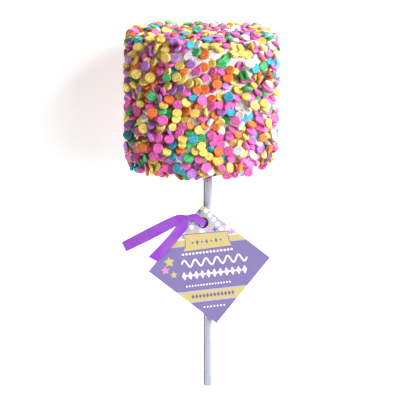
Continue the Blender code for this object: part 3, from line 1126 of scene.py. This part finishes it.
class POP_OT_coating(bpy.types.Operator):
    """Models the coated marshmallow"""

    bl_idname = "pop.coating"
    bl_label = "Coated marshmallow"

    def execute(self, context):
        settings = context.scene.pop_coating
        body = start_from(
            bpy.ops.mesh.primitive_cone_add,
            "coating",
            vertices=settings.sides,
            radius1=STICK_END_RADIUS,
            radius2=TOP_RADIUS,
            depth=HEAD_LENGTH,
            rotation=(-math.pi / 2, 0, 0),
        )
        apply_place(body)
        self.round_end(body, 1, TOP_CORNER, 6)
        self.round_end(body, -1, STICK_END_CORNER, 8)
        divide_length(body, WALL_CUTS)
        edit_where(body, "FACE", lambda face: len(face.vertices) > 10)
        for _ in range(END_RINGS):
            bpy.ops.mesh.inset(thickness=END_RING_WIDTH, use_individual=True)
        bpy.ops.mesh.poke()
        leave_edit()
        self.settle(body, settings.floor_inlay)
        finish_piece(body, coating_material(settings.colour), 60)
        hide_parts("head")
        return {"FINISHED"}

    def round_end(self, body, end, corner, segments):
        """Rounds the rim of one end."""
        at_end = [abs(v.co.y - end * HEAD_LENGTH / 2) < 0.01 * MM for v in body.data.vertices]
        edit_where(body, "EDGE", lambda edge: all(at_end[k] for k in edge.vertices))
        bpy.ops.mesh.bevel(offset=corner, segments=segments, profile=0.5, affect="EDGES")
        leave_edit()

    def settle(self, body, floor):
        """Gives the even form its lumps and its lean, and presses it flat where it lies."""
        normals = [vertex.normal.copy() for vertex in body.data.vertices]
        for vertex, normal in zip(body.data.vertices, normals):
            x, y, z = vertex.co
            raised = vertex.co + normal * lump(y, math.hypot(x, z), math.atan2(x, -z))
            raised.x += HEAD_LEAN * y / HEAD_LENGTH
            raised.z = max(raised.z + side_radius(y) - FLAT_DEPTH, floor)
            vertex.co = raised


# The stick

# How deep the cut ends are hollowed to the rolled laps, and the easing of its edges.
STICK_LIP = 0.15 * MM
STICK_EASING = 0.12 * MM
STICK_CUTS = 40

# The laps at a cut end: where they start and how far they spread, in radii, and their thickness.
ROLL_START = 0.1
ROLL_SPREAD = 0.82
LAP_THICKNESS = 0.11 * MM

# The part of the turn past the seam that is painted dark, as the shadow under the lap's step.
LAP_SHADOW_START = 0.965


class POP_OT_stick(bpy.types.Operator):
    """Models the rolled paper stick with its lap seam and its spiral cut ends"""

    bl_idname = "pop.stick"
    bl_label = "Paper stick"

    def execute(self, context):
        settings = context.scene.pop_stick
        body = start_from(
            bpy.ops.mesh.primitive_cylinder_add,
            "paper_stick",
            vertices=64,
            radius=STICK_RADIUS,
            depth=STICK_HIGH.y - STICK_LOW.y - 2 * STICK_LIP,
            location=(STICK_ASIDE, (STICK_LOW.y + STICK_HIGH.y) / 2, STICK_HEIGHT),
            rotation=(-math.pi / 2, 0, 0),
        )
        apply_place(body)
        divide_length(body, STICK_CUTS)
        for vertex in body.data.vertices:
            across = vertex.co - Vector((STICK_ASIDE, vertex.co.y, STICK_HEIGHT))
            shrink = 1 - settings.seam * self.past_seam(vertex.co, settings) / STICK_RADIUS
            vertex.co = vertex.co - across * (1 - shrink)
        ease_edges(body, STICK_EASING, 2)
        stick = join([body, self.roll(settings, -1), self.roll(settings, 1)], "paper_stick")
        # Faces just past the seam get the painted shadow of the lap's step.
        glue_line = stick.data.attributes.new("glue_line", "FLOAT", "FACE")
        lap_shaded = [float(self.past_seam(face.center, settings) > LAP_SHADOW_START) for face in stick.data.polygons]
        glue_line.data.foreach_set("value", lap_shaded)
        finish_piece(stick, paper_material(settings.colour), 40)
        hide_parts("stick")
        return {"FINISHED"}

    def past_seam(self, place, settings):
        """How far round the stick a place is from the lap seam, from 0 to 1."""
        turn = math.atan2(place.z - STICK_HEIGHT, place.x - STICK_ASIDE)
        return (turn - settings.seam_turn) / math.tau % 1

    def roll(self, settings, end):
        """The laps of paper that show at a cut end, as a thin spiral wall."""
        steps = 24 * settings.roll_turns
        wall = start_from(
            bpy.ops.mesh.primitive_grid_add, "roll", x_subdivisions=steps, y_subdivisions=1, size=1
        )
        face = STICK_LOW.y if end < 0 else STICK_HIGH.y
        for vertex in wall.data.vertices:
            share = vertex.co.x + 0.5
            radius = STICK_RADIUS * (ROLL_START + ROLL_SPREAD * share)
            angle = math.tau * settings.roll_turns * share
            inset = 3 * STICK_LIP * (0.5 - vertex.co.y) + 0.03 * MM
            vertex.co = Vector((
                STICK_ASIDE + radius * math.cos(angle),
                face - end * inset,
                STICK_HEIGHT + radius * math.sin(angle),
            ))
        apply_modifier(wall, "SOLIDIFY", thickness=LAP_THICKNESS, offset=0.0)
        return wall


# The ribbon

# The turn of the knot: how far its ends lap, in radians, its stations and its width.
KNOT_LAP = 0.3
KNOT_STATIONS = 14
KNOT_STRAP_WIDTH = 1.2 * MM


def tag_place():
    """The tag's own frame: X along its print, Y from its far corner to its hung corner."""
    return Matrix.Translation(TAG_MIDDLE) @ Matrix.Rotation(TAG_TURN, 4, "Z")


def hole_place():
    corner = TAG_SIDE / math.sqrt(2)
    return tag_place() @ Matrix.Translation((HOLE_ASIDE, corner - HOLE_FROM_CORNER, 0))


def stations_from(point, rows):
    """Stations of a strip, as (middle, across, width), from rows of places seen from a point."""
    return [(point + Vector(place), Vector(across), width) for place, across, width in rows]


def over_tag_stations(knot, thread):
    """From the knot over a small fold and the tag, and down through its hole, at the thread point."""
    on_card = TAG_TOP + GAP + RIBBON_THICKNESS / 2 - thread.z
    across = (0.6, 0.8, 0)
    return stations_from(knot, [
        ((0, 0, 0), (0.1, 1, 0), GATHERED_WIDTH),
        ((0.0008, 0.0001, 0), (0.15, 1, 0), GATHERED_WIDTH),
    ]) + stations_from(thread, [
        ((-0.0033, 0.0025, on_card + 0.00015), (0.42, 0.91, 0), 0.0024),
        ((-0.0023, 0.0019, on_card + 0.0001), across, 0.0026),
        ((-0.0010, 0.0008, on_card + 0.00003), across, 0.0024),
        ((0, 0, 0), across, THREADED_WIDTH),
        ((0.00035, 0, -TAG_THICKNESS / 2 - 0.00018), across, THREADED_WIDTH),
    ])


def wrap_stations(knot, thread):
    """Over the stick and round it, most of the way along it from the hole to the knot."""
    radius = STICK_RADIUS + GAP + RIBBON_THICKNESS / 2
    stations = []
    for share in np.linspace(0, 1, WRAP_STATIONS):
        angle = WRAP_START + share * WRAP_TURN
        x = STICK_ASIDE + radius * math.cos(angle)
        y = thread.y + 0.8 * share * (knot.y - thread.y)
        z = STICK_HEIGHT + radius * math.sin(angle)
        width = THREADED_WIDTH + 0.3 * share * (GATHERED_WIDTH - THREADED_WIDTH)
        stations.append((Vector((x, y, z)), Vector((0, 1, 0)), width))
    return stations


def rise_stations(knot):
    """From the stick up beside the tag's edge to the knot."""
    across = Vector((0.5, 0.85, 0))
    return [
        (Vector((knot.x - 0.0004, knot.y, TAG_UNDERSIDE - 0.0006)), across, GATHERED_WIDTH),
        (knot + Vector((-0.0004, 0, -0.0001)), across, GATHERED_WIDTH),
    ]


def long_tail_stations(knot):
    """The longer tail: out from the knot, over a soft fold, then drooping to its cut end."""
    return stations_from(knot, [
        ((0, 0, 0), (0.1, 1, 0), GATHERED_WIDTH),
        ((-0.0016, -0.0002, 0.0001), (0.0, 1, 0.1), SPREADING_WIDTH),
        ((-0.0034, -0.0005, 0.0001), (-0.25, 1, 0.1), RIBBON_WIDTH),
        ((-0.0080, -0.0028, -0.0001), (-0.5, 1, 0.05), BROAD_WIDTH),
        ((-0.0143, -0.0063, -0.0010), (-0.5, 1, 0), BROAD_WIDTH),
        ((-0.0214, -0.0104, -0.0032), (-0.48, 1, 0), RIBBON_WIDTH),
    ])


def short_tail_stations(knot):
    """The shorter tail, over the tag's edge to a slanted cut."""
    return stations_from(knot, [
        ((0, -0.0001, 0.0002), (-0.1, 1, 0), GATHERED_WIDTH),
        ((-0.0011, -0.0013, 0.0003), (-0.6, 0.8, 0), SPREADING_WIDTH),
        ((-0.0024, -0.0032, 0.0002), (-0.78, 0.62, 0), RIBBON_WIDTH),
        ((-0.0068, -0.0085, 0.0001), (-0.77, 0.64, 0), 0.95 * RIBBON_WIDTH),
        ((-0.0118, -0.0139, -0.0001), (-0.9, 0.45, 0), SLANT_CUT_WIDTH),
    ])


def knot_stations(knot):
    """The turn of ribbon that ties the tails to the loop, its ends a little past each other."""
    width, height = KNOT_HALF_SIZE[1], KNOT_HALF_SIZE[2]
    stations = []
    for angle in np.linspace(-KNOT_LAP, math.tau + KNOT_LAP, KNOT_STATIONS):
        spot = knot + Vector((0, 0.85 * width * math.cos(angle), 0.8 * height * math.sin(angle)))
        stations.append((spot, Vector((1, 0.25, 0)), KNOT_STRAP_WIDTH))
    return stations


def smooth_run(values, steps):
    """Catmull-Rom points through rows of values, with some steps between each two."""
    values = np.array(values, float)
    padded = np.vstack([2 * values[0] - values[1], values, 2 * values[-1] - values[-2]])
    run = []
    for before, start, end, after in zip(padded, padded[1:], padded[2:], padded[3:]):
        for t in np.arange(steps) / steps:
            bend = (2 * before - 5 * start + 4 * end - after) * t**2
            twist = (3 * start - before - 3 * end + after) * t**3
            run.append(0.5 * (2 * start + (end - before) * t + bend + twist))
    run.append(values[-1])
    return np.array(run)


def strap_rows(stations, steps):
    return smooth_run([(*middle, *across, width) for middle, across, width in stations], steps)


# The cloth is a little thinner than its solid. It has this many cuts along it, and so many half
# waves of pleats, which are at their full depth where it is gathered to about half its width.
CLOTH_THICKNESS = RIBBON_THICKNESS * 0.8
CLOTH_CUTS = 12
PLEATS = 5
PLEAT_GAIN = 2.2


def strap(name, stations, steps, pleat):
    """A pleated strip of ribbon along its stations, with its true length and width as its UV."""
    rows = strap_rows(stations, steps)
    last = len(rows) - 1
    made = start_from(
        bpy.ops.mesh.primitive_grid_add,
        name,
        x_subdivisions=last,
        y_subdivisions=CLOTH_CUTS,
        size=1,
        calc_uvs=True,
    )
    middles = rows[:, :3]
    travelled = np.concatenate([[0], np.cumsum(np.linalg.norm(np.diff(middles, axis=0), axis=1))])
    headings = np.gradient(middles, axis=0)
    for vertex in made.data.vertices:
        row = round((vertex.co.x + 0.5) * last)
        share = vertex.co.y
        across = Vector(rows[row, 3:6]).normalized()
        normal = Vector(headings[row]).cross(across).normalized()
        gather = max(0.0, 1 - rows[row, 6] / RIBBON_WIDTH)
        fold = pleat * min(1.0, PLEAT_GAIN * gather) * math.cos(PLEATS * math.pi * share)
        vertex.co = Vector(middles[row]) + across * (share * rows[row, 6]) + normal * fold
    for corner in made.data.uv_layers.active.data:
        u, v = corner.uv
        distance = float(np.interp(u * last, np.arange(len(rows)), travelled))
        corner.uv = (distance, v * RIBBON_WIDTH)
    apply_modifier(made, "SOLIDIFY", thickness=CLOTH_THICKNESS, offset=0.0)
    return made


class POP_OT_ribbon(bpy.types.Operator):
    """Models the tied satin ribbon: its loop, knot and tails"""

    bl_idname = "pop.ribbon"
    bl_label = "Satin ribbon"

    def execute(self, context):
        settings = context.scene.pop_ribbon
        knot = Vector((*KNOT_PLACE, TAG_TOP + GAP + 0.75 * KNOT_HALF_SIZE[2]))
        thread = hole_place().translation + Vector(THREAD_ASIDE)
        loop = over_tag_stations(knot, thread) + wrap_stations(knot, thread) + rise_stations(knot)
        pieces = [
            strap("ribbon_loop", loop, 6, settings.pleats),
            strap("ribbon_long_tail", long_tail_stations(knot), 8, settings.pleats),
            strap("ribbon_short_tail", short_tail_stations(knot), 8, settings.pleats),
            strap("ribbon_knot", knot_stations(knot), 3, 0.0),
        ]
        ribbon = join(pieces, "satin_ribbon")
        finish_piece(ribbon, satin_material(settings.colour, settings.deep), 50)
        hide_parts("ribbon")
        return {"FINISHED"}


# The tag. Its print is laid out in millimetres from its middle, in its own frame.

# Its level fields from the top down, as (lower edge, ink).
FIELDS = [
    (18.4, "band"),
    (9.45, "upper"),
    (9.15, "card"),
    (7.25, "band"),
    (6.9, "upper"),
    (-8.3, "field"),
    (-8.7, "upper"),
    (-11.9, "band"),
    (-12.3, "upper"),
    (-30.0, "field"),
]
FIELD_INKS = ["card", "field", "upper", "band"]

INK_NAMES = {
    "field": "Purple ink on card",
    "upper": "Lavender ink on card",
    "band": "Yellow ink on card",
    "accent": "Violet ink on card",
    "warm": "Pink ink on card",
    "white": "White ink on card",
}
CARD_ROUGHNESS = 0.7
EDGE_ROUGHNESS = 0.6

# The motifs of the upper field, as (ink, points, outer radius, inner radius), and their rows.
UPPER_MOTIFS = [
    ("white", 8, 1.3, 0.62),
    ("accent", 4, 1.15, 0.42),
    ("white", 6, 1.05, 0.5),
    ("band", 2, 1.2, 0.62),
    ("white", 8, 0.75, 0.75),
    ("warm", 6, 0.55, 0.55),
    ("band", 6, 1.05, 0.55),
]
UPPER_ROWS = 6
UPPER_START = 9.9
UPPER_RISE = 1.65
UPPER_PITCH = 2.15

# The three stars beside the waved stroke, as (ink, x, y, radius).
STARS = [("band", -13.0, 2.3, 1.9), ("warm", -14.6, -0.4, 1.5), ("band", -12.0, -2.2, 1.3)]

BANNER = [
    (-7.4, 10.8), (7.5, 10.4), (7.1, 9.3), (7.3, 7.2), (8.1, 5.6), (-8.0, 5.3), (-6.9, 7.0), (-6.8, 9.2),
]
BANNER_MIDDLE = 8.0

# How much wider and higher its dark edge is, and its row of lozenges and dots, as (how many,
# left, step, y).
BANNER_EDGE = (1.035, 1.09)
BANNER_ROW = (7, -4.6, 1.55, 7.9)
LOZENGE = (2, 0.9, 0.45)
DOT = (4, 0.35, 0.35)

# A dark ring painted in the hole as the shade seen down it: how wide it is, how far it stands proud, and
# its easing.
HOLE_SHADE_WIDTH = 0.38 * MM
HOLE_SHADE_PROUD = 0.08 * MM
HOLE_SHADE_EASING = 0.12 * MM


def print_shape(name, outline, ink_height):
    """A flat printed shape from its outline in millimetres, as a thin solid on the card."""
    shape = start_from(
        bpy.ops.mesh.primitive_circle_add, name, vertices=len(outline), radius=MM, fill_type="NGON"
    )
    for vertex, (x, y) in zip(shape.data.vertices, outline):
        vertex.co = Vector((x * MM, y * MM, TAG_THICKNESS / 2 + ink_height))
    edit_where(shape, "FACE", lambda face: True)
    bpy.ops.mesh.extrude_region_move(TRANSFORM_OT_translate={"value": (0, 0, -2 * ink_height)})
    bpy.ops.mesh.select_all(action="SELECT")
    bpy.ops.mesh.normals_make_consistent(inside=False)
    leave_edit()
    shape.data.transform(tag_place())
    return shape


def star_outline(x, y, points, outer, inner):
    """A star with one point up, or a lozenge or a disc by its points and radii."""
    outline = []
    for k in range(2 * points):
        size = outer if k % 2 == 0 else inner
        angle = math.radians(90) + math.pi * k / points
        outline.append((x + size * math.cos(angle), y + size * math.sin(angle)))
    return outline


def wave_outline(left, right, y, height, waves, half_width):
    """A waved stroke of even width."""
    steps = 12 * waves
    upper, lower = [], []
    for k in range(steps + 1):
        share = k / steps
        x = left + share * (right - left)
        angle = math.tau * waves * share
        middle = y + height * math.sin(angle)
        slope = height * math.cos(angle) * math.tau * waves / (right - left)
        size = math.hypot(1, slope)
        upper.append((x - half_width * slope / size, middle + half_width / size))
        lower.append((x + half_width * slope / size, middle - half_width / size))
    return upper + lower[::-1]


def row_of(ink, count, left, step, y, *shape):
    """A level row of one shape, as (ink, outline)."""
    return [(ink, star_outline(left + step * k, y, *shape)) for k in range(count)]


def on_tag(x, y, margin):
    """True where a place is on the card, a margin in from its edge and off its hole."""
    half = TAG_SIDE / math.sqrt(2) / MM
    hole_y = half - HOLE_FROM_CORNER / MM
    off_hole = math.hypot(x - HOLE_ASIDE / MM, y - hole_y) > HOLE_RADIUS / MM + margin
    return abs(x) + abs(y) < half - 1.41 * margin and off_hole


def clipped(outline):
    """The part of an outline that is on the card, a hair in from its edges."""
    reach = TAG_SIDE / math.sqrt(2) / MM - 0.1
    for right, up in ((1, 1), (1, -1), (-1, 1), (-1, -1)):
        kept = []
        for (x, y), (next_x, next_y) in zip(outline, outline[1:] + outline[:1]):
            here = reach - right * x - up * y
            there = reach - right * next_x - up * next_y
            if here >= 0:
                kept.append((x, y))
            if here * there < 0:
                share = here / (here - there)
                kept.append((x + share * (next_x - x), y + share * (next_y - y)))
        outline = kept
    return outline


def upper_motifs():
    """Small stars, dots and lozenges in staggered rows over the upper field."""
    shapes = []
    for row in range(UPPER_ROWS):
        y = UPPER_START + row * UPPER_RISE
        for column in range(-7, 8):
            x = (column + 0.5 * (row % 2)) * UPPER_PITCH
            ink, *shape = UPPER_MOTIFS[(column * 3 + row * 5) % len(UPPER_MOTIFS)]
            if on_tag(x, y, 0.25):
                shapes.append((ink, star_outline(x, y, *shape)))
    return shapes


def field_motifs():
    """Ornament for the main field, the lower band and the tip: dots, a waved stroke and lozenges."""
    return [
        *row_of("white", 15, -8.2, 1.15, 4.3, 4, 0.4, 0.4),
        ("white", wave_outline(-9.0, 12.6, 1.1, 1.2, 6, 0.27)),
        *row_of("white", 11, -8.6, 2.0, -3.0, 2, 1.45, 0.78),
        *row_of("white", 10, -7.6, 2.0, -3.0, 4, 0.26, 0.26),
        *row_of("white", 16, -8.2, 0.95, -6.6, 4, 0.3, 0.3),
        *((ink, star_outline(x, y, 5, size, 0.5 * size)) for ink, x, y, size in STARS),
        *row_of("accent", 12, -6.6, 1.2, -10.3, 2, 0.85, 0.5),
        *row_of("white", 7, -3.3, 1.1, -14.2, 4, 0.32, 0.32),
    ]


class POP_OT_tag(bpy.types.Operator):
    """Models the card tag with its print"""

    bl_idname = "pop.tag"
    bl_label = "Card tag"

    def execute(self, context):
        settings = context.scene.pop_tag
        inks = {ink: print_material(name, getattr(settings, ink)) for ink, name in INK_NAMES.items()}
        inks["card"] = print_material("White card stock", settings.card, CARD_ROUGHNESS)
        self.card(inks)
        self.motifs(settings.ink_height, inks)
        self.hole_edge(settings.hole_edge)
        return {"FINISHED"}

    def card(self, inks):
        """The card, its top face cut into the print's level fields."""
        card = start_from(
            bpy.ops.mesh.primitive_cube_add,
            "tag_card",
            size=1,
            location=TAG_MIDDLE,
            rotation=(0, 0, TAG_TURN + math.pi / 4),
        )
        card.scale = (TAG_SIDE, TAG_SIDE, TAG_THICKNESS)
        apply_place(card)
        place = tag_place()
        up = place.to_3x3() @ Vector((0, 1, 0))
        for level, _ in FIELDS[:-1]:
            edit_where(card, "FACE", lambda face: True)
            bpy.ops.mesh.bisect(plane_co=place @ Vector((0, level * MM, 0)), plane_no=up)
            leave_edit()
        paint(card, *[inks[name] for name in FIELD_INKS])
        back = place.inverted()
        for face in card.data.polygons:
            if face.normal.z > 0.5:
                height = (back @ face.center).y / MM
                ink = next(name for level, name in FIELDS if height > level)
                face.material_index = FIELD_INKS.index(ink)
        punch = start_from(
            bpy.ops.mesh.primitive_cylinder_add, "tag_punch", vertices=48, radius=HOLE_RADIUS, depth=2 * MM
        )
        punch.data.transform(hole_place())
        apply_modifier(card, "BOOLEAN", operation="DIFFERENCE", object=punch, solver="EXACT")
        bpy.data.objects.remove(punch, do_unlink=True)
        ride_along(card)
        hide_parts("tag")

    def motifs(self, ink_height, inks):
        """The printed shapes, one piece for each ink, each layer a little prouder than the last."""
        made = {}
        for number, (ink, outline) in enumerate(upper_motifs() + field_motifs()):
            shape = print_shape(f"{ink}_{number}", clipped(outline), ink_height)
            made.setdefault(ink, []).append(shape)
        wider, higher = BANNER_EDGE
        edge = [(x * wider, BANNER_MIDDLE + (y - BANNER_MIDDLE) * higher) for x, y in BANNER]
        made["accent"].append(print_shape("banner_edge", edge, 1.5 * ink_height))
        made["band"].append(print_shape("banner", BANNER, 2 * ink_height))
        count, left, step, y = BANNER_ROW
        for k in range(count):
            mark = star_outline(left + step * k, y, *(LOZENGE if k % 2 else DOT))
            made["accent"].append(print_shape("banner_mark", mark, 3 * ink_height))
        for ink, parts in made.items():
            piece = join(parts, "print_" + ink)
            paint(piece, inks[ink])
            ride_along(piece)

    def hole_edge(self, colour):
        """Painted shade in the punched hole: a flat dark ring round the card's edge, for the shadow seen
        down the hole.
        """
        ring = start_from(
            bpy.ops.mesh.primitive_circle_add, "hole_edge", vertices=48, radius=HOLE_RADIUS
        )
        edit_where(ring, "EDGE", lambda edge: True)
        bpy.ops.mesh.extrude_edges_move()
        share = 1 - HOLE_SHADE_WIDTH / HOLE_RADIUS
        bpy.ops.transform.resize(value=(share, share, 1), center_override=(0, 0, 0))
        leave_edit()
        apply_modifier(ring, "SOLIDIFY", thickness=TAG_THICKNESS + 2 * HOLE_SHADE_PROUD, offset=0.0)
        ease_edges(ring, HOLE_SHADE_EASING, 3)
        ring.data.transform(hole_place())
        # The ring's dark material is painted shade.
        finish_piece(ring, print_material("Dark pressed edge", colour, EDGE_ROUGHNESS), 50)


# The stage

# How far the floor is below the pop, so that nothing lies in its very plane.
FLOOR_BELOW = 0.05 * MM

# The lights, as (name, size, degrees of spread, place, what it points at). The side light is
# narrow and falls on the stick.
LIGHTS = [
    ("key", 0.7, 180, (0.72, 0.30, 0.42), (0, -0.02, 0.02)),
    ("front", 0.25, 180, (0.42, 0.14, 0.74), (0, -0.02, 0.02)),
    ("side", 0.15, 40, (-0.34, -0.26, 0.16), (0, -0.085, 0.02)),
]


class POP_OT_stage(bpy.types.Operator):
    """Sets the pale floor, the soft lights and the camera"""

    bl_idname = "pop.stage"
    bl_label = "Stage"

    def execute(self, context):
        settings = context.scene.pop_stage
        scene = context.scene
        floor = start_from(bpy.ops.mesh.primitive_plane_add, "floor", size=6)
        floor.location.z = -FLOOR_BELOW
        board, _ = new_material("Pale matt board", {
            "Base Color": shaded(settings.floor, 1.0),
            "Roughness": 0.9,
            "Emission Color": (1, 1, 1, 1),
            "Emission Strength": settings.floor_glow,
        })
        paint(floor, board)

        scene.world = bpy.data.worlds.new("Soft studio")
        scene.world.use_nodes = True
        sky = scene.world.node_tree.nodes["Background"]
        sky.inputs["Color"].default_value = (1, 1, 1, 1)
        sky.inputs["Strength"].default_value = settings.fill

        for name, size, spread, place, aim in LIGHTS:
            light = bpy.data.objects.new(name + "_light", bpy.data.lights.new(name + "_light", "AREA"))
            light.data.energy = getattr(settings, name + "_power")
            light.data.size = size
            light.data.spread = math.radians(spread)
            light.location = place
            light.rotation_euler = (Vector(aim) - light.location).to_track_quat("-Z", "Y").to_euler()
            scene.collection.objects.link(light)

        camera = bpy.data.objects.new("camera", bpy.data.cameras.new("camera"))
        camera.data.sensor_width = 36
        camera.data.lens = settings.lens
        camera.data.clip_start = 0.01
        camera.data.clip_end = 10
        camera.rotation_euler = (-settings.pitch, 0, 0)
        backwards = camera.rotation_euler.to_matrix().col[2]
        camera.location = Vector(settings.aim) + backwards * settings.distance
        scene.collection.objects.link(camera)
        scene.camera = camera
        scene.view_settings.view_transform = "Standard"
        scene.view_settings.look = "Medium High Contrast"
        return {"FINISHED"}


PIECES = (POP_OT_stage, POP_OT_ribbon, POP_OT_coating, POP_OT_confetti, POP_OT_stick, POP_OT_tag)


class POP_PT_sidebar(bpy.types.Panel):
    """Lists the pop's pieces in the order they are made"""

    bl_idname = "POP_PT_sidebar"
    bl_label = "Marshmallow Pop"
    bl_space_type = "VIEW_3D"
    bl_region_type = "UI"
    bl_category = "Marshmallow Pop"

    def draw(self, context):
        for piece in PIECES:
            self.layout.operator(piece.bl_idname)
        for name, group in SETTINGS.items():
            box = self.layout.box()
            for setting in group.__annotations__:
                box.prop(getattr(context.scene, name), setting)


def register():
    for group in SETTINGS.values():
        bpy.utils.register_class(group)
    for piece in PIECES:
        bpy.utils.register_class(piece)
    bpy.utils.register_class(POP_PT_sidebar)
    for name, group in SETTINGS.items():
        setattr(bpy.types.Scene, name, bpy.props.PointerProperty(type=group))


def unregister():
    for name in SETTINGS:
        delattr(bpy.types.Scene, name)
    bpy.utils.unregister_class(POP_PT_sidebar)
    for piece in reversed(PIECES):
        bpy.utils.unregister_class(piece)
    for group in reversed(SETTINGS.values()):
        bpy.utils.unregister_class(group)


def main():
    register()
    bpy.ops.pop.stage()
    bpy.ops.pop.ribbon()
    bpy.ops.pop.coating()
    bpy.ops.pop.confetti()
    bpy.ops.pop.stick()
    bpy.ops.pop.tag()


if __name__ == "__main__":
    main()
